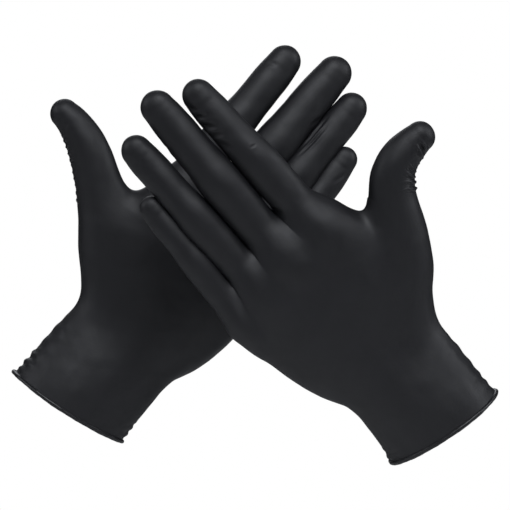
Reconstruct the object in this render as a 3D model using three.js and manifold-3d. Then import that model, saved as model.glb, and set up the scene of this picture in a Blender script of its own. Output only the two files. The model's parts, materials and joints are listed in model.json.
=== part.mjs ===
// A pair of thin disposable gloves in the shape they take on a hand, held crossed, backs to the front.
// Each glove is hollow film, drawn as short sleeves that fold at the knuckles of the hand inside.
//
// Both gloves are drawn as a right-hand glove in its own frame: x runs from the wrist to the fingertips,
// y towards the thumb and z towards the back of the hand. The left glove is the mirror image in y.
// The pair's frame has +Z up and +Y away from the viewer, with its origin at the centre of its box.
// Lengths are millimetres and angles are degrees.

import * as THREE from "three";
import { LoftGeometry } from "three/addons/geometries/LoftGeometry.js";
import { mergeVertices } from "three/addons/utils/BufferGeometryUtils.js";
import Module from "manifold-3d";

// ---- Driving dimensions ----

const WALL = 1.0; // sleeve wall, thicker than the film so that it holds as a solid
const HINGE_GAP = 0.5; // clear space on each side of a folding line
const BEAD = { gap: 0.3, width: 1.9, out: 0.9, in: 0.9, chamfer: 0.5 };

const FINGER_COLUMNS = 16; // points round a finger
const PALM_COLUMNS = 28; // points round the palm, the cuff and the root of the thumb
const PALM_RINGS = 7;
const CUFF_RINGS = 4;
const DOME_ANGLES = [32, 62]; // rings of a rounded fingertip, between its base and its pole
const PALM_SQUARENESS = 0.86; // 1 is an ellipse, less is squarer
const ROUND = 1;
const WELD = 1e-3;

// How far each side of a fold is cut back, measured from the plane across the sleeve.
const CUTS = {
  wristCuff: { palm: 33, back: 28 },
  wristHand: { palm: 33, back: 28 },
  web: { palm: 33, back: 13 },
  root: { palm: 35, back: 13 },
  middle: { palm: 48, back: 5 },
  tip: { palm: 34, back: 3 },
};
const THUMB_FOLD = { height: -6, palm: 54, back: 0 }; // the fold line lies near the palm
const THUMB_BEND = { inner: 5, flexCut: 42, openCut: 2 }; // its axis lies towards the index finger

// Outline of the palm from the wrist to the web of the fingers: a point on the thumb side, a point on the
// little finger's side, and the depths of the back and of the palm.
const PALM = [
  { thumbSide: [0, 32.5], littleSide: [0, -32.5], back: 19, palm: 18 },
  { thumbSide: [18, 38], littleSide: [15, -40], back: 17.5, palm: 17 },
  { thumbSide: [42, 43.2], littleSide: [42, -48.5], back: 15.5, palm: 16.5 },
  { thumbSide: [74, 40], littleSide: [68, -50.5], back: 14, palm: 14.5 },
  { thumbSide: [101, 33.5], littleSide: [87.5, -50], back: 10.5, palm: 11 },
];
const WEB_ARCH = 4; // how far the middle of the web stands ahead of its ends

const CUFF_MOUTH = { back: 27, palm: 25 };
const CUFF_WRIST = { back: 19.5, palm: 18.5 };

// Each finger: lengths from the web to the middle knuckle, to the last knuckle and to the tip, then half
// widths and half depths at the web, at the two knuckles and where the rounded tip starts.
const FINGERS = {
  index: { lengths: [27, 25, 27.5], widths: [10.2, 10.2, 9.4, 7.7], depths: [9.4, 9, 8.3, 6.9] },
  middle: { lengths: [31, 29, 30.5], widths: [10.4, 10.4, 9.6, 7.9], depths: [9.6, 9.2, 8.5, 7] },
  ring: { lengths: [29.5, 28, 29], widths: [8.8, 8.8, 8.5, 7.1], depths: [8.9, 8.7, 8.1, 6.7] },
  little: { lengths: [20, 20, 22.5], widths: [7.4, 7.4, 7, 6], depths: [7.6, 7.4, 7, 5.9] },
};
const CURL = { base: 5, middle: 6, tip: 5 }; // how far each knuckle is bent at rest

// Where each glove differs: the place and lean of the hand, the slant of the cuff's edge, the spread of the
// fingers and the bend of the thumb. A finger's root is a point on the web and a splay towards the thumb.
// A thumb section is a centre, the direction it faces, a half width and a half depth.
const GLOVES = {
  left: {
    mirrored: true,
    wrist: [75.3, -27, -58.3],
    lean: -42.5,
    pitch: 9,
    cuff: { thumbSide: [-46, 29], littleSide: [-35, -36] },
    roots: { index: [105, 19.5, 0], middle: [105, -5.2, 2.5], ring: [99, -27.2, 2.2], little: [94, -44.2, 3.6] },
    thumbRoot: [
      { at: [48, 45.5], facing: 90, width: 22.5, depth: 11.5 },
      { at: [58, 55], facing: 55, width: 14.5, depth: 12 },
      { at: [66, 59], facing: 40, width: 13, depth: 11.5 },
      { at: [75.2, 65.2], facing: 52, width: 11.9, depth: 10.5 },
    ],
    thumbEnd: [
      { at: [75.9, 66.1], facing: 52, width: 11.8, depth: 10.4 },
      { at: [80.5, 75.5], facing: 75, width: 10.2, depth: 9.4 },
      { at: [82, 86], facing: 88, width: 9, depth: 8.4 },
      { at: [82, 95.5], facing: 90, width: 7.7, depth: 7.2 },
    ],
  },
  right: {
    mirrored: false,
    wrist: [-73, 27, -48],
    lean: 37.7,
    pitch: 0,
    cuff: { thumbSide: [-48.5, 36], littleSide: [-40, -33.5] },
    roots: { index: [105, 24.2, 0], middle: [105.5, 0, 0], ring: [100, -20.9, 0], little: [97, -37.8, 0.5] },
    thumbRoot: [
      { at: [46, 45.5], facing: 90, width: 21.5, depth: 11.5 },
      { at: [54.5, 56], facing: 60, width: 14.5, depth: 12 },
      { at: [62, 65], facing: 54, width: 12.8, depth: 11.5 },
      { at: [69.2, 74.2], facing: 55, width: 12, depth: 10.5 },
    ],
    thumbEnd: [
      { at: [69.9, 75.2], facing: 55, width: 11.9, depth: 10.4 },
      { at: [77, 86.5], facing: 60, width: 11, depth: 9.6 },
      { at: [80.5, 95], facing: 70, width: 9.3, depth: 8.4 },
      { at: [82, 101.5], facing: 80, width: 7.7, depth: 7.2 },
    ],
  },
};

// ---- Materials ----

const FILM = { color: 0x26262a, roughness: 0.55, metalness: 0 };
const BEAD_FILM = { color: 0x1c1c1f, roughness: 0.5, metalness: 0 };

const film = () => new THREE.MeshStandardMaterial(FILM);
const beadFilm = () => new THREE.MeshStandardMaterial(BEAD_FILM);

// ---- Hollow film from rings ----

const rad = THREE.MathUtils.degToRad;
const slope = (degrees) => Math.tan(rad(degrees));
const wasm = await Module();
wasm.setup();

// A rib is one ring of the film: a centre, a side vector to its thumb-side edge, the depths of its back and
// its palm, and shift(side, height), which moves a point along the sleeve.
const still = () => 0;

function ringOf(rib, inset, columns) {
  const width = rib.side.length();
  const points = [];
  for (let i = 0; i < columns; i++) {
    const turn = (i / columns) * 2 * Math.PI;
    const c = Math.sign(Math.cos(turn)) * Math.abs(Math.cos(turn)) ** (rib.squareness ?? ROUND);
    const s = Math.sign(Math.sin(turn)) * Math.abs(Math.sin(turn)) ** (rib.squareness ?? ROUND);
    const side = (width - inset) * c;
    const height = ((s > 0 ? rib.back : rib.palm) - inset) * s;
    const point = rib.centre.clone().addScaledVector(rib.side, side / width);
    point.z += height;
    points.push(point.addScaledVector(rib.along, (rib.shift ?? still)(side, height)));
  }
  return points;
}

// Shared corners become one vertex, and the triangles that close up at a pole are dropped.
function welded(loft) {
  const bare = new THREE.BufferGeometry();
  bare.setAttribute("position", loft.getAttribute("position"));
  bare.setIndex(loft.getIndex());
  const merged = mergeVertices(bare, WELD);
  const corners = [...merged.index.array];
  const kept = [];
  for (let i = 0; i < corners.length; i += 3) {
    const [a, b, c] = corners.slice(i, i + 3);
    if (a !== b && b !== c && c !== a) kept.push(a, b, c);
  }
  merged.setIndex(kept);
  return merged;
}

// A sleeve open at both ends.
function openSleeve(ribs, columns, wall = WALL) {
  const outer = ribs.map((rib) => ringOf(rib, 0, columns));
  const inner = ribs.map((rib) => ringOf(rib, wall, columns)).reverse();
  return welded(new LoftGeometry([...outer, ...inner, outer[0]]));
}

// A sleeve with a rounded end after its last rib.
function closedSleeve(ribs, columns) {
  const wall = (inset) => {
    const rings = [...ribs, ...domeRibs(ribs.at(-1), inset)].map((rib) => ringOf(rib, inset, columns));
    const { centre, along, side } = ribs.at(-1);
    const pole = centre.clone().addScaledVector(along, side.length() - inset);
    return [...rings, Array(columns).fill(pole)];
  };
  return welded(new LoftGeometry([...wall(WALL).reverse(), ...wall(0)]));
}

function domeRibs(last, inset) {
  const reach = last.side.length() - inset;
  return DOME_ANGLES.map((angle) => {
    const shrink = Math.cos(rad(angle));
    const width = reach * shrink + inset;
    return {
      ...last,
      centre: last.centre.clone().addScaledVector(last.along, reach * Math.sin(rad(angle))),
      side: last.side.clone().setLength(width),
      back: (last.back - inset) * shrink + inset,
      palm: (last.palm - inset) * shrink + inset,
      shift: still,
    };
  });
}

// How far a sleeve's end is cut back at one height, on the palm side and on the back.
function cutBack(cut, height) {
  const above = height - (cut.height ?? 0);
  return HINGE_GAP + (above < 0 ? -above * slope(cut.palm) : above * slope(cut.back));
}

const startCut = (cut) => (side, height) => cutBack(cut, height);
const endCut = (cut) => (side, height) => -cutBack(cut, height);

// ---- Manifold cuts ----

function toSolid(geometry) {
  return new wasm.Manifold(
    new wasm.Mesh({
      numProp: 3,
      vertProperties: geometry.attributes.position.array,
      triVerts: new Uint32Array(geometry.index.array),
    }),
  );
}

function toGeometry(solid) {
  const { vertProperties, triVerts } = solid.getMesh();
  const geometry = new THREE.BufferGeometry();
  geometry.setAttribute("position", new THREE.BufferAttribute(vertProperties, 3));
  geometry.setIndex(new THREE.BufferAttribute(triVerts, 1));
  return geometry;
}

// ---- Parts of one glove ----

function edgeRib(thumbSide, littleSide, depths, squareness = PALM_SQUARENESS) {
  const thumb = new THREE.Vector3(thumbSide[0], thumbSide[1], 0);
  const little = new THREE.Vector3(littleSide[0], littleSide[1], 0);
  return {
    centre: thumb.clone().add(little).multiplyScalar(0.5),
    side: thumb.clone().sub(little).multiplyScalar(0.5),
    along: new THREE.Vector3(1, 0, 0),
    back: depths.back,
    palm: depths.palm,
    squareness,
  };
}

function palmRibs() {
  const curveOf = (pick) => new THREE.CatmullRomCurve3(PALM.map((rib) => new THREE.Vector3(...pick(rib))));
  const thumbSide = curveOf((rib) => [...rib.thumbSide, 0]);
  const littleSide = curveOf((rib) => [...rib.littleSide, 0]);
  const depths = curveOf((rib) => [rib.back, rib.palm, 0]);
  const ribs = [];
  for (let i = 0; i < PALM_RINGS; i++) {
    const t = i / (PALM_RINGS - 1);
    const { x: back, y: palm } = depths.getPoint(t);
    ribs.push(edgeRib(thumbSide.getPoint(t).toArray(), littleSide.getPoint(t).toArray(), { back, palm }));
  }
  const web = ribs.at(-1);
  const halfWeb = web.side.length();
  ribs[0].shift = startCut(CUTS.wristHand);
  web.shift = (side, height) => WEB_ARCH * (1 - (side / halfWeb) ** 2) - cutBack(CUTS.web, height);
  return ribs;
}

// The hole in the side of the palm where the thumb leaves it.
function thumbOpening(root) {
  const inner = { ...root, centre: root.centre.clone().setY(root.centre.y - 16), shift: still };
  const outer = { ...root, centre: root.centre.clone().setY(root.centre.y + 6), shift: still };
  const rings = [inner, outer].map((rib) => ringOf(rib, WALL + 1.5, PALM_COLUMNS));
  return welded(new LoftGeometry(rings, { capStart: true, capEnd: true }));
}

function palmGeometry(glove) {
  const shell = toSolid(openSleeve(palmRibs(), PALM_COLUMNS));
  const opening = toSolid(thumbOpening(thumbRib(glove.thumbRoot[0])));
  return toGeometry(shell.subtract(opening));
}

function cuffGeometry(glove) {
  const mouth = edgeRib(glove.cuff.thumbSide, glove.cuff.littleSide, CUFF_MOUTH);
  const wrist = edgeRib(PALM[0].thumbSide, PALM[0].littleSide, CUFF_WRIST);
  wrist.shift = endCut(CUTS.wristCuff);
  const ribs = [];
  for (let i = 0; i < CUFF_RINGS; i++) {
    const t = i / (CUFF_RINGS - 1);
    const ease = t * (2 - t);
    ribs.push({
      ...wrist,
      centre: mouth.centre.clone().lerp(wrist.centre, t),
      side: mouth.side.clone().lerp(wrist.side, t),
      back: THREE.MathUtils.lerp(mouth.back, wrist.back, ease),
      palm: THREE.MathUtils.lerp(mouth.palm, wrist.palm, ease),
      shift: i === CUFF_RINGS - 1 ? wrist.shift : still,
    });
  }
  return openSleeve(ribs, PALM_COLUMNS);
}

// The rolled rim: a ring with a flat end, just ahead of the cuff's edge.
function beadGeometry(glove) {
  const edge = edgeRib(glove.cuff.thumbSide, glove.cuff.littleSide, CUFF_MOUTH);
  const outwards = edge.side.clone().cross(new THREE.Vector3(0, 0, 1)).normalize().negate();
  const far = BEAD.gap + BEAD.width;
  const profile = [
    [far, BEAD.chamfer - BEAD.out],
    [far - BEAD.chamfer, -BEAD.out],
    [BEAD.gap, -BEAD.out],
    [BEAD.gap, WALL + BEAD.in],
    [far - BEAD.chamfer, WALL + BEAD.in],
    [far, WALL + BEAD.in - BEAD.chamfer],
  ];
  const rings = profile.map(([ahead, inset]) => {
    const rib = { ...edge, centre: edge.centre.clone().addScaledVector(outwards, ahead) };
    return ringOf(rib, inset, PALM_COLUMNS);
  });
  return welded(new LoftGeometry([...rings, rings[0]]));
}

function fingerRib(x, width, depth, shift) {
  return {
    centre: new THREE.Vector3(x, 0, 0),
    side: new THREE.Vector3(0, width, 0),
    along: new THREE.Vector3(1, 0, 0),
    back: depth,
    palm: depth,
    shift,
  };
}

// One length of a finger between two knuckles, with its rear hinge at the origin.
function fingerLength(finger, which) {
  const cuts = [CUTS.root, CUTS.middle, CUTS.tip];
  const [length, width, depth] = [finger.lengths[which], finger.widths, finger.depths];
  const halfway = (list) => (list[which] + list[which + 1]) / 2;
  const ribs = [
    fingerRib(0, width[which], depth[which], startCut(cuts[which])),
    fingerRib(length / 2, halfway(width), halfway(depth), still),
  ];
  if (which < 2) {
    ribs.push(fingerRib(length, width[which + 1], depth[which + 1], endCut(cuts[which + 1])));
    return openSleeve(ribs, FINGER_COLUMNS);
  }
  ribs.push(fingerRib(length - width[3], width[3], depth[3], still));
  return closedSleeve(ribs, FINGER_COLUMNS);
}

function thumbRib({ at, facing, width, depth }) {
  const turn = rad(facing);
  return {
    centre: new THREE.Vector3(at[0], at[1], 0),
    side: new THREE.Vector3(-Math.sin(turn), Math.cos(turn), 0).multiplyScalar(width),
    along: new THREE.Vector3(Math.cos(turn), Math.sin(turn), 0),
    back: depth,
    palm: depth,
  };
}

// The bend of the thumb's joint lies in the plane of the palm, so its cuts run across the width.
function bendCut(side) {
  const towardsOutside = side + THUMB_BEND.inner;
  const cut = towardsOutside < 0 ? THUMB_BEND.flexCut : THUMB_BEND.openCut;
  return HINGE_GAP + Math.abs(towardsOutside) * slope(cut);
}

function thumbRootGeometry(glove, pivot) {
  const ribs = glove.thumbRoot.map(thumbRib);
  ribs[0].shift = startCut(THUMB_FOLD);
  ribs.at(-1).shift = (side) => -bendCut(side);
  return openSleeve(ribs, PALM_COLUMNS).translate(-pivot.x, -pivot.y, -pivot.z);
}

function thumbEndGeometry(glove, pivot) {
  const ribs = glove.thumbEnd.map(thumbRib);
  ribs[0].shift = (side) => bendCut(side);
  return closedSleeve(ribs, PALM_COLUMNS).translate(-pivot.x, -pivot.y, -pivot.z);
}

// ---- Scene graph ----

function part(name, geometry, material) {
  const mesh = new THREE.Mesh(geometry, material);
  mesh.name = name;
  geometry.computeVertexNormals();
  return mesh;
}

function pivotAt(name, position) {
  const group = new THREE.Group();
  group.name = name;
  group.position.copy(position);
  return group;
}

function fingerGroup(side, name, [x, y, splay]) {
  const finger = FINGERS[name];
  const curls = [CURL.base, CURL.middle, CURL.tip];
  const places = ["base", "middle", "tip"];
  let parent = null;
  let root = null;
  places.forEach((place, which) => {
    const reach = which === 0 ? new THREE.Vector3(x, y, 0) : new THREE.Vector3(finger.lengths[which - 1], 0, 0);
    const pivot = pivotAt(`${side}_${name}_${place}_hinge`, reach);
    pivot.rotation.set(0, rad(curls[which]), which === 0 ? rad(splay) : 0, "ZYX");
    pivot.add(part(`${side}_${name}_${place}`, fingerLength(finger, which), film()));
    if (parent) parent.add(pivot);
    else root = pivot;
    parent = pivot;
  });
  return root;
}

function thumbGroup(side, glove) {
  const foldPoint = new THREE.Vector3(glove.thumbRoot[0].at[0], glove.thumbRoot[0].at[1], THUMB_FOLD.height);
  const joint = thumbRib(glove.thumbRoot.at(-1));
  const bendPoint = joint.centre.clone().addScaledVector(joint.side, -THUMB_BEND.inner / joint.side.length());
  const fold = pivotAt(`${side}_thumb_fold_hinge`, foldPoint);
  const bend = pivotAt(`${side}_thumb_bend_hinge`, bendPoint.clone().sub(foldPoint));
  fold.add(part(`${side}_thumb_root`, thumbRootGeometry(glove, foldPoint), film()));
  bend.add(part(`${side}_thumb_end`, thumbEndGeometry(glove, bendPoint), film()));
  fold.add(bend);
  return fold;
}

// Turns a glove's own frame into the pair's: leaning in the picture plane, pitched towards the viewer.
function gloveGroup(side, glove) {
  const upHand = new THREE.Vector3(Math.sin(rad(glove.lean)), 0, Math.cos(rad(glove.lean)));
  const viewer = new THREE.Vector3(0, -1, 0);
  const thumbwards = viewer.clone().cross(upHand);
  const basis = new THREE.Matrix4().makeBasis(upHand, thumbwards, viewer);
  const pitch = new THREE.Matrix4().makeRotationY(-rad(glove.pitch));

  const group = pivotAt(`${side}_glove`, new THREE.Vector3(...glove.wrist));
  group.quaternion.setFromRotationMatrix(basis.multiply(pitch));
  group.scale.y = glove.mirrored ? -1 : 1;

  const hand = pivotAt(`${side}_wrist_hinge`, new THREE.Vector3());
  hand.add(part(`${side}_hand_shell`, palmGeometry(glove), film()));
  for (const name of Object.keys(FINGERS)) hand.add(fingerGroup(side, name, glove.roots[name]));
  hand.add(thumbGroup(side, glove));

  group.add(part(`${side}_cuff_sleeve`, cuffGeometry(glove), film()));
  group.add(part(`${side}_cuff_bead`, beadGeometry(glove), beadFilm()));
  group.add(hand);
  return group;
}

const pair = new THREE.Group();
for (const [side, glove] of Object.entries(GLOVES)) pair.add(gloveGroup(side, glove));
const middle = new THREE.Box3().setFromObject(pair, true).getCenter(new THREE.Vector3());
pair.position.copy(middle).negate();

export default pair;
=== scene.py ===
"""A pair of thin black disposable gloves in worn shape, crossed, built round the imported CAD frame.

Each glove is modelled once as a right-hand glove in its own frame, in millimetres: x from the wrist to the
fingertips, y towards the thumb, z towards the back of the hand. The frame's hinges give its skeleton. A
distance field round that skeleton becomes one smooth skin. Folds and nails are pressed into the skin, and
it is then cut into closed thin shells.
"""

import json
import math

import bmesh
import bpy
import numpy as np
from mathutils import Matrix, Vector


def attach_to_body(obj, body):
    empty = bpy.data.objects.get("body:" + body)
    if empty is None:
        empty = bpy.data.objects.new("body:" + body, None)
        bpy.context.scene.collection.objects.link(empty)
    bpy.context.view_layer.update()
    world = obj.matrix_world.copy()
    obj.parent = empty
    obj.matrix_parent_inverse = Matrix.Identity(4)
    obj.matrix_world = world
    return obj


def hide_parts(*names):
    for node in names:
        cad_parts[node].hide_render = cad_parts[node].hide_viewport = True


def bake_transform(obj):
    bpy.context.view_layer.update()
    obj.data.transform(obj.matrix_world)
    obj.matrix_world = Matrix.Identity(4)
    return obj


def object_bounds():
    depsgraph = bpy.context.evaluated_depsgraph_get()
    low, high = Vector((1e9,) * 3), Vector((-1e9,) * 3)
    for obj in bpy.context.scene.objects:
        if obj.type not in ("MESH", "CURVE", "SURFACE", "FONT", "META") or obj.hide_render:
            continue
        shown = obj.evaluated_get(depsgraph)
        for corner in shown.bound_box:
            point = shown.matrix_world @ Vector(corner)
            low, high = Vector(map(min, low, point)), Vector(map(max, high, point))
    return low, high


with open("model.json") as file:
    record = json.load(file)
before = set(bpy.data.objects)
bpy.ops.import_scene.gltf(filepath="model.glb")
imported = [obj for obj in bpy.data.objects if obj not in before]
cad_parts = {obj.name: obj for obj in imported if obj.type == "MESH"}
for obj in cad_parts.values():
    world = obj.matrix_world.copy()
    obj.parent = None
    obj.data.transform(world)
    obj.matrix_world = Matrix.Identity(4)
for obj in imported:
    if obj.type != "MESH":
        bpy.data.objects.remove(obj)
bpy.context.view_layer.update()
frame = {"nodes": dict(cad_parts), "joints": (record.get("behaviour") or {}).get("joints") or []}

import openvdb
from mathutils import Vector

MM = 0.001

# ---- Driving dimensions, in millimetres and degrees ----

VOXEL = 1.0
FILM = 0.35  # drawn film thickness
FINGERS = ("index", "middle", "ring", "little")
FINGER_WIDTH = {
    "left": {"index": 10.2, "middle": 10.8, "ring": 9.7, "little": 7.8},
    "right": {"index": 10.5, "middle": 11.3, "ring": 10.2, "little": 8.5},
}
TIP_EXTRA = {
    "left": {"index": 2.0, "middle": 1.3, "ring": 1.0, "little": 0.5},
    "right": {"index": 2.1, "middle": 3.0, "ring": 1.9, "little": 2.5},
}

# How each finger's skin stands off its hinges: sideways shift and degrees of splay towards the thumb.
LEAN = {
    "left": {"index": (-1.4, 0.5), "middle": (0.1, 0.2), "ring": (1.0, -1.3), "little": (1.3, -0.2)},
    "right": {"index": (0.9, -1.3), "middle": (0.9, -1.9), "ring": (0.7, -0.6), "little": (0.3, 1.9)},
}

# The skin is formed with the fingers further apart, by a shift and a splay each, then they are brought
# together.
SPREAD = {
    "left": {"index": (1.2, 2.0), "middle": (0.2, 0.5), "ring": (-0.8, -1.0), "little": (-2.4, -3.5)},
    "right": {"index": (1.0, 1.0), "middle": (0.6, 0.8), "ring": (-1.0, -1.2), "little": (-3.0, -3.5)},
}
SPREAD_FADE = (-30.0, 0.0)  # from the root hinge
SPREAD_SOFT = 0.7

# Sections of a finger: place (0, 1 and 2 are its hinges and 3 its tip), then half width, back and palm depth
# as shares of the finger's half width.
FINGER_SECTIONS = (
    (-0.95, 0.91, 0.74, 0.84),
    (-0.35, 1.00, 0.82, 0.88),
    (0.0, 1.04, 0.85, 0.88),
    (0.5, 1.10, 0.87, 0.88),
    (1.0, 1.10, 0.91, 0.84),
    (1.3, 1.02, 0.84, 0.84),
    (1.5, 0.96, 0.80, 0.84),
    (2.0, 0.95, 0.78, 0.76),
    (2.4, 0.94, 0.70, 0.80),
    (2.7, 0.85, 0.63, 0.73),
)

# The palm and cuff, from the mouth to the web: how far along, the edges on the two sides, back, palm.
PALM_SECTIONS = {
    "left": (
        (-62, 29.5, -40.5, 28, 26),
        (-40, 29.6, -38.6, 25.5, 23.5),
        (-30, 29.9, -35.6, 24.5, 22.5),
        (-15, 31.0, -33.9, 21.5, 20),
        (0, 31.2, -33.6, 19, 18.5),
        (18, 35.6, -41.2, 17.5, 18.5),
        (42, 41.0, -49.0, 16, 17.5),
        (68, 40.0, -50.4, 14.5, 15.5),
        (86, 36.0, -47.6, 12.5, 12.5),
        (100, 33.0, -47.0, 10.5, 10.5),
        (114, 31.0, -45.0, 9, 9.5),
    ),
    "right": (
        (-62, 37.5, -34.4, 28, 26),
        (-38, 35.5, -32.9, 25, 23),
        (-15, 34.0, -33.3, 21.5, 20),
        (0, 32.0, -34.3, 19, 18.5),
        (9, 31.9, -37.6, 18.3, 18.5),
        (18, 33.8, -41.0, 17.5, 18.5),
        (42, 40.0, -47.5, 16, 17.5),
        (68, 41.0, -49.5, 14.5, 15.5),
        (86, 38.5, -48.0, 12.5, 12.5),
        (100, 36.0, -46.5, 10.5, 10.5),
        (114, 34.0, -45.0, 9, 9.5),
    ),
}
WEB_BACK = 1.0  # the palm ends this far behind the finger roots
WEB_SLOPE = 0.65  # and slopes back from there to the knuckles
WEB_SLOPE_LOW = -4  # height where that slope starts
WEB_END_LITTLE = (-7, -10)  # the palm's end beside the little finger's root: ahead, sideways
WEB_END_INDEX = (-4, 12)
PALM_POWER = ((-40, 0, 30), (2.0, 2.05, 2.1))  # along the hand, and how square its section is there
KNUCKLE_PLACE = (-26, 0, 2.0)  # from the finger's root hinge
KNUCKLE_SHARE = {"index": 0.9, "middle": 0.9, "ring": 0.9, "little": 0.72}  # of the finger's half width
KNUCKLE_LENGTH = 15
KNUCKLE_HEIGHT = 9.6

# How softly one shape runs into the next.
FINGER_BLEND = 1.0
PALM_END_BLEND = 9
KNUCKLE_BLEND = 11
PAD_BLEND = 8
ROOT_BLEND = 7
THUMB_TIGHT_BLEND = 8.0

# The cuff's mouth: its thumb-side and little-side ends, and how far its middle bows out.
MOUTH = {"left": ((-46.9, 29.1), (-36.8, -37.8), 0.5), "right": ((-47.9, 35.8), (-42.1, -32.2), 1.9)}
MOUTH_SOFT = 24.0
BEAD_RADIUS = 1.15
BEAD_STEPS = 300  # round the mouth
BEAD_SIDES = 14  # round the roll

# The thumb's centre line from inside the palm outwards: a point, then half width and half depth.
THUMB_LINE = {
    "left": (
        (8, 14, -1, 11, 12),
        (32, 36.5, -1.5, 14.8, 13.5),
        (51, 49, -1, 14.9, 12.8),
        (67.6, 57.3, -0.5, 13.1, 11.6),
        (77.6, 65.2, 0, 12.5, 11.0),
        (82.3, 74.7, 0, 11.3, 10.0),
        (83.2, 84.3, 0, 10.0, 9.0),
        (83.0, 89.8, 0, 8.8, 7.8),
    ),
    "right": (
        (8, 14, -1, 11, 12),
        (29, 34, -1.5, 14.0, 13.5),
        (46.5, 47.5, -1, 14.2, 12.8),
        (60.5, 62, -0.5, 12.9, 11.6),
        (70.5, 73.5, 0, 12.2, 10.8),
        (77.8, 85.6, 0, 11.4, 9.8),
        (81.2, 95.5, 0, 9.9, 8.6),
        (81.5, 100.3, 0, 8.8, 7.6),
    ),
}
THUMB_DOME = 8.2
THUMB_WEB = {"left": 13.5, "right": 20.0}
THUMB_WEB_START = (30.0, 60.0)  # tight before the first, full past the second
BALL_OF_THUMB = ((40, 24, -8), (27, 14.5, 12))
HEEL_OF_HAND = ((34, -29, -7), (32, 15, 12))

# ---- Where the skin is cut, and the stretches round the hinges ----

ROOT_SEAM = 2.0  # past the root hinge
MIDDLE_SEAM = 0.62  # share of the first finger bone
TIP_SEAM = 0.5  # share of the second finger bone
THUMB_FACING = 55.0
THUMB_SEAM = {"left": 78.0, "right": 80.0}  # along the thumb's facing, just past the thumb's web
THUMB_BEND_ROOM = (9.0, 13.0)  # before and past the thumb's hinge
WRIST_ROOM = (-20.0, 22.0)
SEAM_GAP = 0.3  # the stretch round a hinge starts and ends this far from the seams
ROOT_GAP = 0.2  # and this far at the hand's own seams
MIDDLE_BEND_SPARE = 1.5  # a finger's middle stretch ends this much sooner
TIP_BEND_ROOM = 9  # past the tip hinge
CUT_REACH = 4  # faces this near a seam are cut


# ---- The frame's skeleton ----


def unit(v):
    return v / np.linalg.norm(v)


def turn_z(degrees):
    c, s = math.cos(math.radians(degrees)), math.sin(math.radians(degrees))
    return np.array([[c, -s, 0], [s, c, 0], [0, 0, 1.0]])


def ramp(x, low, high):
    """0 below low, 1 above high, and smooth between."""
    t = np.clip((x - low) / (high - low), 0, 1)
    return t * t * (3 - 2 * t)


def bell(t):
    """1 at 0, falling smoothly to 0 at -1 and 1."""
    return np.clip(1 - t * t, 0, 1) ** 2


def joint_mm(name):
    found = next(j for j in frame["joints"] if j["name"] == name)
    return np.array(found["pos_m"]) / MM, np.array(found["axis"])


def smooth_rows(rows, step=2.0, blur=4.0):
    """Rows joined by straight lines, evenly resampled along their first three columns and rounded off."""
    rows = np.asarray(rows, float)
    at = np.concatenate([[0], np.cumsum(np.linalg.norm(np.diff(rows[:, :3], axis=0), axis=1))])
    fine = np.linspace(0, at[-1], int(at[-1] / step) + 1)
    curve = np.stack([np.interp(fine, at, column) for column in rows.T], axis=1)
    reach = int(2.5 * blur / step)
    kernel = np.exp(-0.5 * (np.arange(-reach, reach + 1) * step / blur) ** 2)
    before = 2 * curve[0] - curve[reach:0:-1]
    after = 2 * curve[-1] - curve[-2 : -reach - 2 : -1]
    padded = np.vstack([before, curve, after])
    return np.stack([np.convolve(c, kernel / kernel.sum(), mode="valid") for c in padded.T], axis=1)


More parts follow.
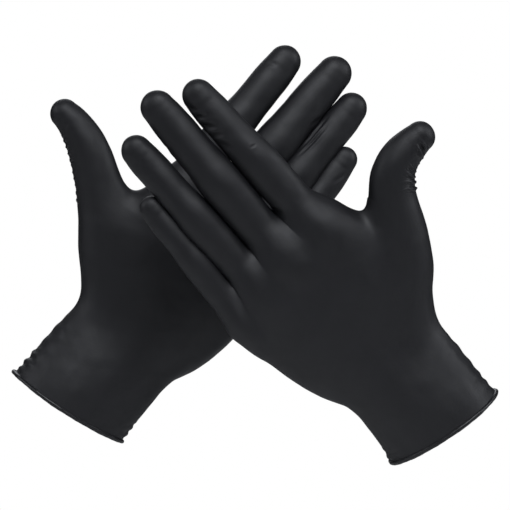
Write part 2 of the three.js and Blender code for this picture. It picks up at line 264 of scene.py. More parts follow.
class Tube:
    """A tapering tube along a curve with a rounded end. Rows: centre, half width, back depth, palm depth."""

    def __init__(self, rows, dome):
        self.rows = smooth_rows(rows)
        self.dome = dome
        centres = self.rows[:, :3]
        step = np.gradient(centres, axis=0)
        self.tangent = step / np.linalg.norm(step, axis=1)[:, None]
        side = np.cross([0, 0, 1.0], self.tangent)
        self.sideways = side / np.linalg.norm(side, axis=1)[:, None]
        self.up = np.cross(self.tangent, self.sideways)
        gaps = np.linalg.norm(np.diff(centres, axis=0), axis=1)
        self.length = np.concatenate([[0], np.cumsum(gaps)])

    def near(self, points, margin):
        reach = self.rows[:, 3:].max() + margin
        low, high = self.rows[:, :3].min(0) - reach, self.rows[:, :3].max(0) + reach
        return ((points > low) & (points < high)).all(1)

    def project(self, points):
        """For each point: its place among the rows, and its ahead, side and up offsets from there."""
        centres = self.rows[:, :3]
        best = np.full(len(points), np.inf)
        where = np.zeros(len(points))
        for i in range(len(centres) - 1):
            d = centres[i + 1] - centres[i]
            t = np.clip((points - centres[i]) @ d / (d @ d), 0, 1)
            gap = ((points - centres[i] - t[:, None] * d) ** 2).sum(1)
            closer = gap < best
            best[closer] = gap[closer]
            where[closer] = (i + t)[closer]
        offset = points - self.mixed(centres, where)
        frame_axes = (self.tangent, self.sideways, self.up)
        return where, *((offset * self.mixed(a, where)).sum(1) for a in frame_axes)

    def mixed(self, rows, where):
        i = np.minimum(where.astype(int), len(rows) - 2)
        f = (where - i)[:, None]
        return rows[i] * (1 - f) + rows[i + 1] * f

    def distance(self, points):
        where, ahead, side, up = self.project(points)
        sizes = self.mixed(self.rows[:, 3:], where)
        depth = np.where(up > 0, sizes[:, 1], sizes[:, 2])
        past_end = (where > len(self.rows) - 1.001) & (ahead > 0)
        behind = (where < 0.001) & (ahead < 0)
        nose = np.where(past_end, ahead / self.dome, np.where(behind, ahead / sizes[:, 0], 0.0))
        ratio = np.sqrt((side / sizes[:, 0]) ** 2 + (up / depth) ** 2 + nose**2)
        length = np.sqrt(side**2 + up**2 + np.where(nose != 0, ahead, 0) ** 2)
        inner = np.minimum(sizes[:, 0], depth)
        return np.where(length > 1e-3, length * (1 - 1 / np.maximum(ratio, 1e-3)), -inner)

    def around(self, points):
        """Millimetres back from the tip, degrees round from the thumb side to the back, and the radius."""
        where, ahead, side, up = self.project(points)
        sizes = self.mixed(self.rows[:, 3:], where)
        along = np.interp(where, np.arange(len(self.rows)), self.length)
        past_end = where > len(self.rows) - 1.001
        from_tip = self.length[-1] + self.dome - along - np.where(past_end, ahead, 0)
        depth = np.where(up > 0, sizes[:, 1], sizes[:, 2])
        angle = np.degrees(np.arctan2(up / depth, side / sizes[:, 0]))
        return from_tip, angle, (sizes[:, 0] + depth) / 2


class Glove:
    """One glove's own frame, its hinges and its tubes."""

    def __init__(self, side):
        self.side = side
        self.mirror = -1 if side == "left" else 1
        self.origin, across = joint_mm(f"{side}_wrist_bend")
        _, along = joint_mm(f"{side}_thumb_fold")
        self.x = -self.mirror * along
        self.y = self.mirror * across
        self.z = self.mirror * np.cross(self.x, self.y)
        self.axes = np.stack([self.x, self.y, self.z])
        self.joints = {name: self.finger_joints(name) for name in FINGERS}
        self.spread = {name: self.spread_joints(name) for name in FINGERS}
        self.tubes = {name: self.finger_tube(name, self.spread) for name in FINGERS}
        rows = [[x, y, z, wide, deep, deep] for x, y, z, wide, deep in THUMB_LINE[side]]
        self.tubes["thumb"] = Tube(rows, THUMB_DOME)
        self.thumb_hinge = self.local(joint_mm(f"{side}_thumb_bend")[0])
        self.closed_tubes = {name: self.finger_tube(name, self.joints) for name in FINGERS}
        self.closed_tubes["thumb"] = self.tubes["thumb"]
        palm = np.array(PALM_SECTIONS[side], float)
        self.palm = smooth_rows(np.column_stack([palm[:, 0], palm[:, 0] * 0, palm[:, 0] * 0, palm]), 2, 5)

    def local(self, world_mm):
        return (np.asarray(world_mm) - self.origin) @ self.axes.T

    def world(self, local_mm):
        """Metres in the row frame."""
        return (self.origin + np.asarray(local_mm) @ self.axes) * MM

    def finger_joints(self, name):
        places = ("base", "middle", "tip")
        hinges = [self.local(joint_mm(f"{self.side}_{name}_{place}_bend")[0]) for place in places]
        tip = frame["nodes"][f"{self.side}_{name}_tip"]
        points = self.local(np.array([v.co for v in tip.data.vertices]) / MM)
        ahead = unit(hinges[2] - hinges[1])
        reach = ((points - hinges[2]) @ ahead).max() + TIP_EXTRA[self.side][name]
        return np.array([*hinges, hinges[2] + reach * ahead])

    def spread_joints(self, name):
        shift, splay = SPREAD[self.side][name]
        joints = self.joints[name]
        return joints[0] + [0, shift, 0] + (joints - joints[0]) @ turn_z(splay).T

    def finger_tube(self, name, all_joints):
        joints = all_joints[name]
        width = FINGER_WIDTH[self.side][name]
        rows = []
        for place, *shares in FINGER_SECTIONS:
            i = min(max(int(math.floor(place)), 0), 2)
            centre = joints[i] + (joints[i + 1] - joints[i]) * (place - i)
            rows.append([*centre, *(share * width for share in shares)])
        return Tube(rows, dome=np.linalg.norm(joints[3] - rows[-1][:3]))


# ---- Distance field ----

LOW = np.array([-60.0, -62.0, -40.0])
HIGH = np.array([206.0, 118.0, 40.0])
FAR = 14.0


def smooth_min(a, b, k):
    h = np.maximum(k - np.abs(a - b), 0) / k
    return np.minimum(a, b) - h * h * k / 4


def smooth_max(a, b, k):
    return -smooth_min(-a, -b, k)


def tube_distance(tube, points):
    out = np.full(len(points), FAR * 1.5)
    close = tube.near(points, FAR)
    out[close] = np.minimum(tube.distance(points[close]), FAR * 1.5)
    return out


def ellipsoid_distance(points, centre, radii):
    offset = points - centre
    ratio = np.sqrt(((offset / radii) ** 2).sum(1))
    length = np.linalg.norm(offset, axis=1)
    return np.where(length > 1e-3, length * (1 - 1 / np.maximum(ratio, 1e-3)), -min(radii))


def palm_distance(glove, points):
    x, y, z = points.T
    place, thumbwards, littlewards, back, palm = glove.palm[:, 3:].T
    edges = [np.interp(x, place, column) for column in (thumbwards, littlewards, back, palm)]
    centre, half = (edges[0] + edges[1]) / 2, (edges[0] - edges[1]) / 2
    depth = np.where(z > 0, edges[2], edges[3])
    power = np.interp(x, *PALM_POWER)
    ratio = (np.abs((y - centre) / half) ** power + np.abs(z / depth) ** power) ** (1 / power)
    length = np.hypot(y - centre, z)
    walls = np.where(length > 1e-3, length * (1 - 1 / np.maximum(ratio, 1e-3)), -depth)
    roots = np.array([glove.joints[name][0] for name in reversed(FINGERS)])
    ends = np.vstack([roots[0, :2] + WEB_END_LITTLE, roots[:, :2], roots[-1, :2] + WEB_END_INDEX])
    slope = WEB_SLOPE * np.maximum(z - WEB_SLOPE_LOW, 0)
    past_web = x - np.interp(y, ends[:, 1], ends[:, 0]) + WEB_BACK + slope
    return smooth_max(walls, past_web / math.hypot(1, WEB_SLOPE), PALM_END_BLEND)


def glove_distance(glove, points):
    """Distance from points to the glove's smooth skin, negative inside."""
    fingers = tube_distance(glove.tubes["index"], points)
    for name in FINGERS[1:]:
        fingers = smooth_min(fingers, tube_distance(glove.tubes[name], points), FINGER_BLEND)
    body = palm_distance(glove, points)
    for name in FINGERS:
        knuckle = glove.spread[name][0] + np.array(KNUCKLE_PLACE)
        half_width = FINGER_WIDTH[glove.side][name] * KNUCKLE_SHARE[name]
        radii = np.array([KNUCKLE_LENGTH, half_width, KNUCKLE_HEIGHT])
        body = smooth_min(body, ellipsoid_distance(points, knuckle, radii), KNUCKLE_BLEND)
    for centre, radii in (BALL_OF_THUMB, HEEL_OF_HAND):
        pad = ellipsoid_distance(points, np.array(centre), np.array(radii))
        body = smooth_min(body, pad, PAD_BLEND)
    web = np.interp(points[:, 0], THUMB_WEB_START, (THUMB_TIGHT_BLEND, THUMB_WEB[glove.side]))
    body = smooth_min(body, tube_distance(glove.tubes["thumb"], points), web)
    return smooth_min(body, fingers, ROOT_BLEND)


# ---- Skin ----


def settle(glove, points):
    """Moves points onto the exact skin."""
    step = 0.25
    value = glove_distance(glove, points)
    shifts = np.eye(3) * step
    slope = np.stack([glove_distance(glove, points + s) - value for s in shifts], axis=1) / step
    return points - (value / np.maximum((slope**2).sum(1), 0.1))[:, None] * slope


def relax(points, edges, rounds, share):
    count = np.maximum(np.bincount(edges.ravel(), minlength=len(points)), 1)
    for _ in range(rounds):
        total = np.stack(
            [
                np.bincount(edges[:, 0], points[edges[:, 1], k], len(points))
                + np.bincount(edges[:, 1], points[edges[:, 0], k], len(points))
                for k in range(3)
            ],
            axis=1,
        )
        points = points + share * (total / count[:, None] - points)
    return points


def smooth_skin(glove):
    """Points and quads of the glove's skin, closed past the cuff's mouth."""
    axes = [np.arange(LOW[i], HIGH[i], VOXEL) for i in range(3)]
    grid = np.stack(np.meshgrid(*axes, indexing="ij"), axis=-1)
    field = glove_distance(glove, grid.reshape(-1, 3)).reshape(grid.shape[:3])
    volume = openvdb.FloatGrid(FAR * 1.5)
    volume.copyFromArray(field.astype(np.float32))
    points, quads = volume.convertToQuads(0.0)
    points, quads = np.array(points, float) * VOXEL + LOW, np.array(quads, int)
    pairs = np.concatenate([quads[:, [k, (k + 1) % 4]] for k in range(4)])
    edges = np.unique(np.sort(pairs, axis=1), axis=0)
    for _ in range(2):
        points = settle(glove, relax(points, edges, 4, 0.6))
    return points, quads


def gather(glove, points):
    """Brings the spread fingers together, each as a stiff whole, with the webs giving way between them."""
    gaps = np.stack([tube_distance(glove.tubes[name], points) for name in FINGERS])
    share = np.exp(-(gaps - gaps.min(0)) / SPREAD_SOFT)
    share /= share.sum(0)
    moved = np.zeros_like(points)
    for weight, name in zip(share, FINGERS):
        shift, splay = SPREAD[glove.side][name]
        set_off, lean = LEAN[glove.side][name]
        root = glove.joints[name][0]
        back = root + [0, set_off, 0] + (points - root - [0, shift, 0]) @ turn_z(lean - splay).T
        fade = weight * ramp(points[:, 0] - root[0], *SPREAD_FADE)
        moved += fade[:, None] * (back - points)
    return points + moved


# ---- Folds, nails and unevenness pressed into the skin ----

# Creases round a finger or thumb: millimetres back from the tip, degrees round from the thumb side over the
# back, length, width, depth, and degrees of slant.
CREASES = {
    ("left", "index"): (
        (12.5, 142, 9, 1.6, 0.7, 50),
        (18, 140, 11, 1.3, 0.75, 38),
        (25, 136, 13, 1.7, 0.85, 42),
        (31.5, 132, 11, 1.3, 0.7, 28),
        (39, 134, 12, 1.8, 0.7, 44),
        (48.5, 70, 4.5, 0.6, 0.2, 10),
        (80, 165, 14, 1.6, 0.6, 60),
    ),
    ("left", "middle"): ((80, 15, 10, 1.5, 0.4, 50), (30, 170, 12, 1.6, 0.3, 30)),
    ("left", "ring"): ((34, 165, 12, 1.6, 0.3, 35),),
    ("left", "thumb"): ((11.5, 58, 12, 0.95, 1.6, 4), (14.4, 58, 7, 0.7, 0.6, 0)),
    ("right", "index"): ((16, 60, 8, 1.2, 0.25, 20),),
    ("right", "middle"): ((38, 150, 12, 1.5, 0.4, 70),),
    ("right", "ring"): (
        (34, 42, 30, 0.8, 0.6, 88),
        (38, 58, 28, 0.8, 0.5, 86),
    ),
    ("right", "little"): ((18, 120, 12, 1.0, 0.3, 75),),
    ("right", "thumb"): ((14, 60, 7, 0.9, 0.25, 20),),
}

CREASE_BOW = 0.06  # how much a crease curves along its length

# Creases on the palm side at a finger's two outer joints: joint number and depth. Each has a shorter one
# beside it, half as deep.
JOINT_CREASES = ((1, 0.55), (2, 0.45))
PALM_SIDE = -90
SECOND_CREASE = 3.2  # nearer the tip

# Stacked wrinkles on the outside of the thumb: from and to (back from the tip), pitch of the rolls (each
# holds two ridges), half angle, height.
STACKS = {
    "left": ((22.0, 43.0, 5.3, 80, 2.4), (13.0, 24.0, 4.6, 46, 0.7)),
    "right": ((17.0, 37.0, 4.4, 46, 1.2), (35.0, 62.0, 4.2, 42, 0.75)),
}

# Nail plates showing through the film: back from the tip to the plate's two ends, half angle, height.
NAILS = {
    ("left", "index"): (2.5, 14.0, 46, 0.3),
    ("left", "middle"): (2.5, 14.5, 46, 0.14),
    ("left", "ring"): (2.0, 13.0, 46, 0.3),
    ("left", "little"): (1.5, 11.0, 46, 0.3),
    ("left", "thumb"): (2.5, 14.0, 44, 0.1),
    ("right", "index"): (2.5, 14.0, 46, 0.16),
    ("right", "middle"): (2.5, 14.5, 46, 0.16),
    ("right", "ring"): (2.0, 13.0, 46, 0.22),
    ("right", "little"): (1.5, 11.5, 46, 0.35),
    ("right", "thumb"): (2.5, 14.0, 44, 0.1),
}

# How far back from the tip a tube carries folds.
FOLDED_LENGTH = {"index": 92.0, "middle": 104.0, "ring": 98.0, "little": 68.0, "thumb": 66.0}

# Soft hollows (negative) and swellings on the back of the hand: place, radius, height.
BACK_RELIEF = {
    "left": ((6, 8, 22, -3.2), (72, 22, 12, 0.5), (56, 26, 24, 2.6)),
    "right": ((5, 6, 22, -2.6), (72, 24, 12, 0.5), (50, 28, 22, 2.0)),
}

# Unevenness: height in millimetres, then the size of its waves.
FILM_WAVE = (0.16, 26.0)
FINE_WAVE = (0.07, 9.0)
CUFF_WAVE = (0.12, 9.0)
EDGE_WAVE = (0.24, 8.5)  # along the cuff's thumb side
CORNER_WAVE = (0.4, 5.0)  # at the two ends of the mouth
CUFF_HALF_WIDTH = 33.0

# Folds across the palm, as lines of points with the fold's width and depth.
PALM_FOLDS = (
    (((88, 26), (72, 14), (52, 4), (30, 1), (14, 6)), 1.8, 1.0),
    (((86, -38), (80, -22), (76, -4), (80, 12)), 1.6, 0.8),
    (((70, -46), (64, -26), (60, -6), (64, 14)), 1.6, 0.7),
    (((2, 26), (0, 8), (1, -12), (3, -28)), 1.5, 0.9),
    (((-7, 22), (-9, 4), (-8, -14), (-6, -26)), 1.5, 0.6),
)


def waves(points, seed, size, count=12):
    """Smooth random unevenness of about that size across, between roughly -1 and 1."""
    rng = np.random.default_rng(seed)
    total = np.zeros(len(points))
    for _ in range(count):
        direction = unit(rng.normal(size=3)) * 2 * math.pi / (size * rng.uniform(0.7, 1.6))
        total += np.sin(points @ direction + rng.uniform(0, 2 * math.pi))
    return total / math.sqrt(count)


def crease(around, at, degrees, length, width, depth, slant):
    from_tip, angle, radius = around
    arc = np.radians((angle - degrees + 180) % 360 - 180) * radius
    along = from_tip - at
    c, s = math.cos(math.radians(slant)), math.sin(math.radians(slant))
    across, run = along * c + arc * s, arc * c - along * s
    across = across + CREASE_BOW * run * run / length
    valley = np.exp(-((across / width) ** 2))
    ridge_before = 0.5 * np.exp(-(((across - 2 * width) / width) ** 2))
    ridge_past = 0.4 * np.exp(-(((across + 2 * width) / width) ** 2))
    ridges = ridge_before + ridge_past
    return depth * bell(run / (0.5 * length)) * (ridges - valley)


def stack(around, points, start, end, pitch, half_angle, height):
    from_tip, angle, _ = around
    fade = 1 - ramp(np.abs(angle), 0.4 * half_angle, half_angle)
    fade *= ramp(from_tip, start - 1, start + 2) * ramp(-from_tip, -end - 1, -end + 2)
    turn = math.pi * (from_tip / pitch + 0.16 * waves(points, 5, 12.0) + 0.004 * angle)
    ridges = 0.6 * np.abs(np.cos(turn)) ** 0.6 + 0.4 * np.abs(np.cos(2 * turn)) ** 0.6 - 0.62
    return height * (1 + 0.35 * waves(points, 6, 9.0)) * fade * ridges


def nail(around, start, end, half_angle, height):
    from_tip, angle, radius = around
    side = (half_angle - np.abs(angle - 90)) / 57.3 * radius
    end_gap = np.minimum(from_tip - start, end - from_tip)
    corner = smooth_min(side, end_gap, 4.0)
    return height * ramp(corner, -1.2, 1.8)


def polyline_distance(points, line):
    best = np.full(len(points), np.inf)
    run = np.zeros(len(points))
    for k, (a, b) in enumerate(zip(line[:-1], line[1:])):
        a, b = np.array(a, float), np.array(b, float)
        t = np.clip((points - a) @ (b - a) / ((b - a) @ (b - a)), 0, 1)
        gap = np.linalg.norm(points - a - t[:, None] * (b - a), axis=1)
        run = np.where(gap < best, (k + t) / (len(line) - 1), run)
        best = np.minimum(best, gap)
    return best, run


def folded_tubes(glove, points):
    """Which points lie on the outer half of each tube, with their places round it."""
    owner = owners(glove.tubes, points)
    for number, name in enumerate(glove.tubes):
        rows = np.nonzero(owner == number)[0]
        around = glove.tubes[name].around(points[rows])
        keep = around[0] < FOLDED_LENGTH[name]
        yield name, rows[keep], tuple(a[keep] for a in around)


def relief(glove, points):
    """How far each point of the smooth skin is pushed outwards."""
    push = FILM_WAVE[0] * waves(points, 11, FILM_WAVE[1]) + FINE_WAVE[0] * waves(points, 12, FINE_WAVE[1])
    for name, rows, around in folded_tubes(glove, points):
        side = glove.side
        for numbers in CREASES.get((side, name), ()):
            push[rows] += crease(around, *numbers)
        push[rows] += nail(around, *NAILS[side, name])
        if name == "thumb":
            for numbers in STACKS[side]:
                push[rows] += stack(around, points[rows], *numbers)
            continue
        tube = glove.tubes[name]
        joints = glove.spread[name]
        total = tube.length[-1] + tube.dome - 0.95 * np.linalg.norm(joints[1] - joints[0])
        for k, depth in JOINT_CREASES:
            at = total - sum(np.linalg.norm(joints[m + 1] - joints[m]) for m in range(k))
            push[rows] += crease(around, at, PALM_SIDE, 15, 1.2, depth, 3)
            push[rows] += crease(around, at - SECOND_CREASE, PALM_SIDE, 11, 1.0, depth * 0.5, -5)
    x, y, z = points.T
    back, front = ramp(z, 2, 8), ramp(-z, 2, 8)
    for cx, cy, radius, height in BACK_RELIEF[glove.side]:
        push += height * back * np.exp(-((np.hypot(x - cx, y - cy) / radius) ** 2))
    for line, width, depth in PALM_FOLDS:
        gap, run = polyline_distance(points[:, :2], line)
        fold = 0.45 * np.exp(-(((gap - 2 * width) / width) ** 2)) - np.exp(-((gap / width) ** 2))
        push += depth * front * bell(2 * run - 1) * fold * (1 + 0.3 * waves(points, 21, 12.0))
    height, period = EDGE_WAVE
    edge = ramp(y / CUFF_HALF_WIDTH, 0.55, 0.95) * ramp(-x, 3, 14)
    push += height * edge * np.sin(x * 2 * math.pi / period + 1.3 * waves(points, 31, 30.0))
    height, size = CUFF_WAVE
    push += height * ramp(-x, 8, 30) * waves(points * [0.35, 1, 1], 33, size)
    height, period = CORNER_WAVE
    corner = ramp(np.abs(y) / CUFF_HALF_WIDTH, 0.85, 1.0) * ramp(-x, 26, 33)
    push += height * corner * np.sin(x * 2 * math.pi / period + waves(points, 35, 12.0))
    return push


def fine_faces(glove, centres, level):
    """Which faces carry folds too fine for the skin's own spacing."""
    fine = np.zeros(len(centres), bool)
    for name, rows, around in folded_tubes(glove, centres):
        mark = np.zeros(len(rows), bool)
        if name == "thumb":
            for start, end, _, half_angle, _ in STACKS[glove.side]:
                mark |= (np.abs(around[0] - (start + end) / 2) < (end - start) / 2 + 2) & (
                    np.abs(around[1]) < half_angle + 6
                )
        if level == 0:
            for at, degrees, length, width, _, _ in CREASES.get((glove.side, name), ()):
                arc = np.radians((around[1] - degrees + 180) % 360 - 180) * around[2]
                mark |= np.hypot(arc, around[0] - at) < length / 2 + 2 * width
        fine[rows] |= mark
    return fine


def refined(glove, points, faces):
    """The skin with its finely folded parts divided further."""
    bm = to_bmesh(points, faces)
    for level in range(2):
        bm.faces.ensure_lookup_table()
        marked = np.nonzero(fine_faces(glove, face_centres(bm), level))[0]
        edges = {e for i in marked for e in bm.faces[i].edges}
        bmesh.ops.subdivide_edges(bm, edges=list(edges), cuts=1, use_grid_fill=True)
    bm.verts.ensure_lookup_table()
    points = settle(glove, np.array([v.co for v in bm.verts]))
    faces = [[v.index for v in f.verts] for f in bm.faces]
    bm.free()
    return points, faces


# ---- Cutting ----


def to_bmesh(points, faces):
    mesh = bpy.data.meshes.new("work")
    mesh.from_pydata(points.tolist(), [], [list(map(int, f)) for f in faces])
    bm = bmesh.new()
    bm.from_mesh(mesh)
    bpy.data.meshes.remove(mesh)
    return bm


def face_centres(bm):
    return np.array([f.calc_center_median() for f in bm.faces])


def owners(tubes, points):
    """The number of the tube each point is nearest to: the four fingers, then the thumb."""
    return np.argmin([tube_distance(t, points) for t in tubes.values()], axis=0)


def seams(glove):
    """Cut planes as (tube name, point, normal facing the tip), from the root outwards."""
    out = []
    for name, joints in glove.joints.items():
        first, second = joints[1] - joints[0], joints[2] - joints[1]
        out.append((name, joints[0] + ROOT_SEAM * unit(first), unit(first)))
        out.append((name, joints[0] + MIDDLE_SEAM * first, unit(first)))
        out.append((name, joints[1] + TIP_SEAM * second, unit(second)))
    turn = math.radians(THUMB_FACING)
    facing = np.array([math.cos(turn), math.sin(turn), 0])
    out.append(("thumb", facing * THUMB_SEAM[glove.side], facing))
    out.append(("thumb", glove.thumb_hinge - facing * THUMB_BEND_ROOM[0], facing))
    return out


def mouth_plane(glove):
    thumbwards, littlewards, bow = MOUTH[glove.side]
    a, b = np.array([*thumbwards, 0.0]), np.array([*littlewards, 0.0])
    across = a - b
    normal = unit(np.array([across[1], -across[0], 0]))
    return (a + b) / 2, normal, across, bow


def bow_mouth(glove, points):
    """Lets the middle of the cuff's mouth bow outwards."""
    middle, normal, across, bow = mouth_plane(glove)
    offset = points - middle
    u = np.clip(offset @ across / (across @ across) * 2, -1, 1)
    fade = np.clip(1 - (offset @ normal) / MOUTH_SOFT, 0, 1) ** 2
    return points - (bow * (1 - u**2) * fade)[:, None] * normal


def cut(bm, faces, point, normal, clear=False):
    edges = {e for f in faces for e in f.edges}
    verts = {v for f in faces for v in f.verts}
    bmesh.ops.bisect_plane(
        bm,
        geom=[*faces, *edges, *verts],
        dist=1e-4,
        plane_co=point,
        plane_no=normal,
        clear_inner=clear,
    )


def cut_skin(glove, points, faces):
    """The skin open at the cuff with an edge loop at every seam: points, faces, and each face's piece name.

    closed_tubes leave out LEAN, so where two fingers touch, some faces are given to the finger next door.
    """
    bm = to_bmesh(points, faces)
    middle, normal, _, _ = mouth_plane(glove)
    cut(bm, list(bm.faces), middle, normal, clear=True)
    names = list(glove.tubes)
    planes = seams(glove)
    for name, point, direction in planes:
        bm.faces.ensure_lookup_table()
        centres = face_centres(bm)
        near = np.abs((centres - point) @ direction) < CUT_REACH
        rows = np.nonzero(near)[0]
        mine = rows[owners(glove.closed_tubes, centres[rows]) == names.index(name)]
        cut(bm, [bm.faces[i] for i in mine], point, direction)
    bm.verts.ensure_lookup_table()
    bm.faces.ensure_lookup_table()
    centres = face_centres(bm)
    owner = owners(glove.closed_tubes, centres)
    piece = np.full(len(centres), "hand", dtype=object)
    for name, point, direction in planes:
        ahead = (owner == names.index(name)) & ((centres - point) @ direction > 0)
        part = {"hand": 0, f"{name}_0": 1, f"{name}_1": 2}
        step = np.array([part.get(p, 0) for p in piece])
        piece[ahead] = [f"{name}_{s}" for s in step[ahead]]
    cut_points = np.array([v.co for v in bm.verts])
    cut_faces = [[v.index for v in f.verts] for f in bm.faces]
    bm.free()
    return cut_points, cut_faces, piece


def vertex_normals(points, faces):
    total = np.zeros_like(points)
    sizes = np.array([len(f) for f in faces])
    for n in np.unique(sizes):
        rows = np.array([f for f in faces if len(f) == n])
        ring = points[rows]
        across = np.cross(ring - ring[:, :1], np.roll(ring, -1, axis=1) - ring[:, :1]).sum(1)
        for k in range(n):
            for axis in range(3):
                total[:, axis] += np.bincount(rows[:, k], across[:, axis], len(points))
    return total / np.maximum(np.linalg.norm(total, axis=1), 1e-9)[:, None]


def boundary_edges(faces):
    """The directed edges that only one face uses."""
    seen = {(a, b) for f in faces for a, b in zip(f, [*f[1:], f[0]])}
    return [(a, b) for a, b in seen if (b, a) not in seen]


def shell(glove, name, points, normals, faces):
    """A closed thin shell: the faces, the same faces FILM further in, and rims between them."""
    used = np.unique(np.concatenate([np.asarray(f) for f in faces]))
    renumber = np.full(len(points), -1)
    renumber[used] = np.arange(len(used))
    outer = [[int(renumber[v]) for v in f] for f in faces]
    n = len(used)
    inner = [[v + n for v in reversed(f)] for f in outer]
    rims = [[b, a, a + n, b + n] for a, b in boundary_edges(outer)]
    local = np.vstack([points[used], points[used] - FILM * normals[used]])
    corner_normals = np.vstack([normals[used], -normals[used]]) @ glove.axes
    polygons = outer + inner + rims
    if glove.mirror < 0:
        polygons = [f[::-1] for f in polygons]
    mesh = bpy.data.meshes.new(name)
    mesh.from_pydata(glove.world(local).tolist(), [], polygons)
    mesh.polygons.foreach_set("use_smooth", [True] * (len(outer) + len(inner)) + [False] * len(rims))
    mesh.update()
    loops = np.zeros(len(mesh.loops), int)
    mesh.loops.foreach_get("vertex_index", loops)
    custom = corner_normals[loops]
    rim_start = sum(len(f) for f in outer + inner)
    flat = np.zeros(len(mesh.polygons) * 3)
    mesh.polygons.foreach_get("normal", flat)
    custom[rim_start:] = np.repeat(flat.reshape(-1, 3)[len(outer) + len(inner) :], 4, axis=0)
    mesh.normals_split_custom_set(custom.tolist())
    rest = mesh.attributes.new("rest_mm", "FLOAT_VECTOR", "POINT")
    rest.data.foreach_set("vector", local.astype(np.float32).ravel())
    obj = bpy.data.objects.new(name, mesh)
    bpy.context.collection.objects.link(obj)
    return obj


# ---- Bead ----


def ordered_loop(edges):
    after = dict(edges)
    start = edges[0][0]
    loop = [start]
    while after.get(loop[-1], start) != start:
        loop.append(after[loop[-1]])
    return loop


def bead(glove, points, faces):
    """The rolled rim round the cuff's mouth."""
    middle, normal, _, _ = mouth_plane(glove)
    open_edges = [e for e in boundary_edges(faces) if abs((points[e[0]] - middle) @ normal) < 8]
    ring = points[ordered_loop(open_edges)]
    gaps = np.linalg.norm(np.diff(np.vstack([ring, ring[:1]]), axis=0), axis=1)
    at = np.concatenate([[0], np.cumsum(gaps)])
    count, sides = BEAD_STEPS, BEAD_SIDES
    even = np.linspace(0, at[-1], count, endpoint=False)
    closed = np.vstack([ring, ring[:1]])
    ring = np.stack([np.interp(even, at, closed[:, k]) for k in range(3)], axis=1)
    for _ in range(6):
        ring = (np.roll(ring, 1, axis=0) + ring + np.roll(ring, -1, axis=0)) / 3
    along = np.roll(ring, -1, axis=0) - np.roll(ring, 1, axis=0)
    along /= np.linalg.norm(along, axis=1)[:, None]
    out = np.cross(along, normal)
    out /= np.linalg.norm(out, axis=1)[:, None]
    turn = np.linspace(0, 2 * math.pi, sides, endpoint=False)
    phase = np.linspace(0, 2 * math.pi, count, endpoint=False)
    uneven = 1 + 0.07 * np.sin(5 * phase + 1) + 0.05 * np.sin(13 * phase) + 0.03 * np.sin(37 * phase)
    radius = BEAD_RADIUS * uneven
    ring_points = ring[:, None] + radius[:, None, None] * (
        np.cos(turn)[None, :, None] * out[:, None] + np.sin(turn)[None, :, None] * -normal
    )
    quads = []
    for i in range(count):
        j = (i + 1) % count
        for k in range(sides):
            m = (k + 1) % sides
            quads.append([i * sides + k, j * sides + k, j * sides + m, i * sides + m])
    if glove.mirror < 0:
        quads = [q[::-1] for q in quads]
    flat_points = ring_points.reshape(-1, 3)
    mesh = bpy.data.meshes.new(f"{glove.side}_cuff_rolled_rim")
    mesh.from_pydata(glove.world(flat_points).tolist(), [], quads)
    mesh.polygons.foreach_set("use_smooth", [True] * len(quads))
    rest = mesh.attributes.new("rest_mm", "FLOAT_VECTOR", "POINT")
    rest.data.foreach_set("vector", flat_points.astype(np.float32).ravel())
    mesh.update()
    obj = bpy.data.objects.new(mesh.name, mesh)
    bpy.context.collection.objects.link(obj)
    return obj


# ---- Riding on the frame ----


def bend(glove, obj, near_body, far_body, start, end, *nodes):
    side = glove.side
    start, end = glove.world(start), glove.world(end)
    tuple(start)
    tuple(end)
    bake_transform(obj)
    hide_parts(*(f"{side}_{node}" for node in nodes))


def attach(glove, pieces):
    """For each piece, works out the stretch round its joint, bakes it in place and hides the CAD parts it
    covers.
    """
    wrist = np.array([WRIST_ROOM[0], 0, 0]), np.array([WRIST_ROOM[1], 0, 0])
    bend(glove, pieces["hand"], "cuff", "hand", *wrist, "cuff_sleeve", "hand_shell")
    for name, joints in glove.joints.items():
        first, second = (unit(joints[k + 1] - joints[k]) for k in range(2))
        l1, l2 = (np.linalg.norm(joints[k + 1] - joints[k]) for k in range(2))
        base, middle, tip = f"{name}_base", f"{name}_middle", f"{name}_tip"
        start = joints[0] + first * (ROOT_SEAM + ROOT_GAP)
        end = joints[0] + first * (MIDDLE_SEAM * l1 - SEAM_GAP)
        bend(glove, pieces[f"{name}_0"], "hand", base, start, end, base)
        start = joints[0] + first * (MIDDLE_SEAM * l1 + SEAM_GAP)
        end = joints[1] + first * (TIP_SEAM * l2 - MIDDLE_BEND_SPARE)
        bend(glove, pieces[f"{name}_1"], base, middle, start, end, middle)
        start = joints[1] + second * (TIP_SEAM * l2 + SEAM_GAP)
        end = joints[2] + second * TIP_BEND_ROOM
        bend(glove, pieces[f"{name}_2"], middle, tip, start, end, tip)
    (_, fold, facing), (_, bent, _) = seams(glove)[-2:]
    room = (bent - fold) @ facing
    start, end = fold + facing * ROOT_GAP, fold + facing * (room - SEAM_GAP)
    bend(glove, pieces["thumb_0"], "hand", "thumb_root", start, end, "thumb_root")
    start, end = bent + facing * SEAM_GAP, glove.thumb_hinge + facing * THUMB_BEND_ROOM[1]
    bend(glove, pieces["thumb_1"], "thumb_root", "thumb_end", start, end, "thumb_end")


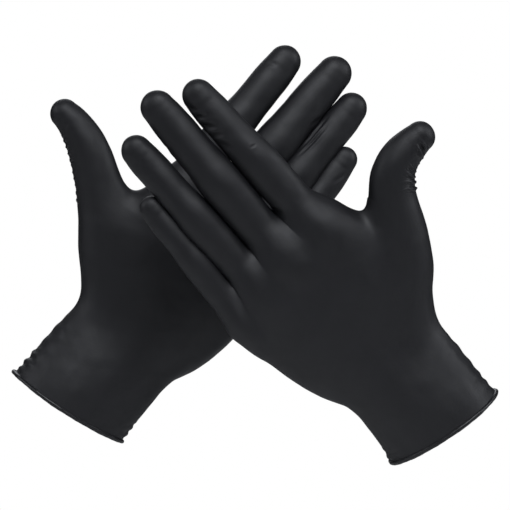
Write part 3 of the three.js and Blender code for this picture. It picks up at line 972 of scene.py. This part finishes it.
def build(glove):
    points, faces = refined(glove, *smooth_skin(glove))
    points = points + relief(glove, points)[:, None] * vertex_normals(points, faces)
    points, faces, piece = cut_skin(glove, gather(glove, points), faces)
    points = bow_mouth(glove, points)
    normals = vertex_normals(points, faces)
    pieces = {}
    for name in sorted(set(piece)):
        mine = [f for f, p in zip(faces, piece) if p == name]
        pieces[name] = shell(glove, f"{glove.side}_{name}_skin", points, normals, mine)
    attach(glove, pieces)
    rim = bead(glove, points, faces)
    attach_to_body(rim, f"{glove.side}_cuff")
    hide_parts(f"{glove.side}_cuff_bead")
    return list(pieces.values()), rim


# ---- Looks ----


def film_material(name, dark, light, rough):
    """Satin black film: a fine grain, faint mottling and uneven shine."""
    material = bpy.data.materials.new(name)
    material.use_nodes = True
    nodes, links = material.node_tree.nodes, material.node_tree.links
    shader = nodes["Principled BSDF"]
    place = nodes.new("ShaderNodeAttribute")
    place.attribute_name = "rest_mm"

    def noise(scale, detail):
        node = nodes.new("ShaderNodeTexNoise")
        node.inputs["Scale"].default_value = scale
        node.inputs["Detail"].default_value = detail
        links.new(place.outputs["Vector"], node.inputs["Vector"])
        return node.outputs["Fac"]

    tint = nodes.new("ShaderNodeMix")
    tint.data_type = "RGBA"
    tint.inputs["A"].default_value = (*dark, 1)
    tint.inputs["B"].default_value = (*light, 1)
    links.new(noise(0.07, 5), tint.inputs["Factor"])
    links.new(tint.outputs["Result"], shader.inputs["Base Color"])
    shine = nodes.new("ShaderNodeMapRange")
    shine.inputs["To Min"].default_value = rough - 0.08
    shine.inputs["To Max"].default_value = rough + 0.08
    links.new(noise(0.16, 6), shine.inputs["Value"])
    links.new(shine.outputs["Result"], shader.inputs["Roughness"])
    bump = None
    for scale, detail, strength, height in ((2.4, 3, 0.22, 0.00004), (0.32, 4, 0.35, 0.0002)):
        layer = nodes.new("ShaderNodeBump")
        layer.inputs["Strength"].default_value = strength
        layer.inputs["Distance"].default_value = height
        links.new(noise(scale, detail), layer.inputs["Height"])
        if bump:
            links.new(bump.outputs["Normal"], layer.inputs["Normal"])
        bump = layer
    links.new(bump.outputs["Normal"], shader.inputs["Normal"])
    shader.inputs["IOR"].default_value = 1.5
    return material


def camera_only(tree, seen, felt):
    """A shader that camera rays see as one and every other ray as another."""
    rays = tree.nodes.new("ShaderNodeLightPath")
    mix = tree.nodes.new("ShaderNodeMixShader")
    tree.links.new(rays.outputs["Is Camera Ray"], mix.inputs["Fac"])
    tree.links.new(felt, mix.inputs[1])
    tree.links.new(seen, mix.inputs[2])
    return mix.outputs["Shader"]


def make_world():
    world = bpy.data.worlds.new("studio")
    bpy.context.scene.world = world
    world.use_nodes = True
    tree = world.node_tree
    white = tree.nodes["Background"]
    white.inputs["Color"].default_value = (1, 1, 1, 1)
    room = tree.nodes.new("ShaderNodeBackground")
    where = tree.nodes.new("ShaderNodeTexCoord")
    split = tree.nodes.new("ShaderNodeSeparateXYZ")
    tree.links.new(where.outputs["Generated"], split.inputs["Vector"])
    height = tree.nodes.new("ShaderNodeMapRange")
    height.inputs["From Min"].default_value = WORLD_HEIGHTS[0]
    height.inputs["From Max"].default_value = WORLD_HEIGHTS[1]
    height.inputs["To Min"].default_value = WORLD_LOW
    height.inputs["To Max"].default_value = WORLD_HIGH
    tree.links.new(split.outputs["Z"], height.inputs["Value"])
    tree.links.new(height.outputs["Result"], room.inputs["Strength"])
    out = camera_only(tree, white.outputs["Background"], room.outputs["Background"])
    tree.links.new(out, tree.nodes["World Output"].inputs["Surface"])


def soft_box(name, place, aim, size, power):
    light = bpy.data.lights.new(name, "AREA")
    light.color = LIGHT_TINT
    light.shape = "RECTANGLE"
    light.size, light.size_y = size
    light.energy = power
    obj = bpy.data.objects.new(name, light)
    obj.location = place
    obj.rotation_euler = (Vector(aim) - Vector(place)).to_track_quat("-Z", "Y").to_euler()
    bpy.context.collection.objects.link(obj)


def make_floor():
    """A pale floor just under the gloves."""
    bpy.ops.mesh.primitive_circle_add(
        vertices=96, radius=FLOOR_RADIUS, fill_type="NGON", location=(0, 0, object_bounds()[0].z - 0.002)
    )
    floor = bpy.context.object
    floor.name = "floor"
    material = bpy.data.materials.new("pale_floor")
    material.use_nodes = True
    tree = material.node_tree
    shader = tree.nodes["Principled BSDF"]
    shader.inputs["Base Color"].default_value = (0.8, 0.8, 0.8, 1)
    shader.inputs["Roughness"].default_value = 0.9
    glow = tree.nodes.new("ShaderNodeEmission")
    out = camera_only(tree, glow.outputs["Emission"], shader.outputs["BSDF"])
    tree.links.new(out, tree.nodes["Material Output"].inputs["Surface"])
    floor.data.materials.append(material)


WORLD_LOW, WORLD_HIGH = 0.0, 0.05  # the room's light below and above
WORLD_HEIGHTS = (-0.6, 1.0)
FLOOR_RADIUS = 0.5
LIGHT_TINT = (0.92, 0.95, 1.0)
CAMERA = (0.0018, -2.224, -0.0012)
LENS = 291.7

# Lights: name, place, what it faces, size, watts.
SOFT_BOXES = (
    ("key", (0.1, -0.85, 1.1), (0, 0, 0), (0.9, 0.6), 12.5),
    ("right", (0.95, -0.15, 0.5), (0, 0, 0), (0.5, 0.6), 3.6),
    ("left", (-0.95, -0.2, 0.5), (0, 0, 0), (0.5, 0.6), 2.4),
    ("back", (-0.2, 1.1, 0.7), (0, 0, 0), (0.8, 0.8), 3.5),
)

film = film_material("black_film", (0.004, 0.004, 0.0056), (0.008, 0.008, 0.0105), 0.56)
rolled = film_material("black_film_rolled", (0.005, 0.005, 0.006), (0.010, 0.010, 0.012), 0.40)
for side in ("left", "right"):
    skins, rim = build(Glove(side))
    for skin in skins:
        skin.data.materials.append(film)
    rim.data.materials.append(rolled)

camera_data = bpy.data.cameras.new("camera")
camera_data.lens = LENS
camera_data.sensor_width = 36
camera = bpy.data.objects.new("camera", camera_data)
bpy.context.collection.objects.link(camera)
camera.location = CAMERA
camera.rotation_euler = (math.radians(90), 0, 0)
bpy.context.scene.camera = camera
bpy.context.scene.view_settings.view_transform = "Standard"
make_world()
make_floor()
for box in SOFT_BOXES:
    soft_box(*box)
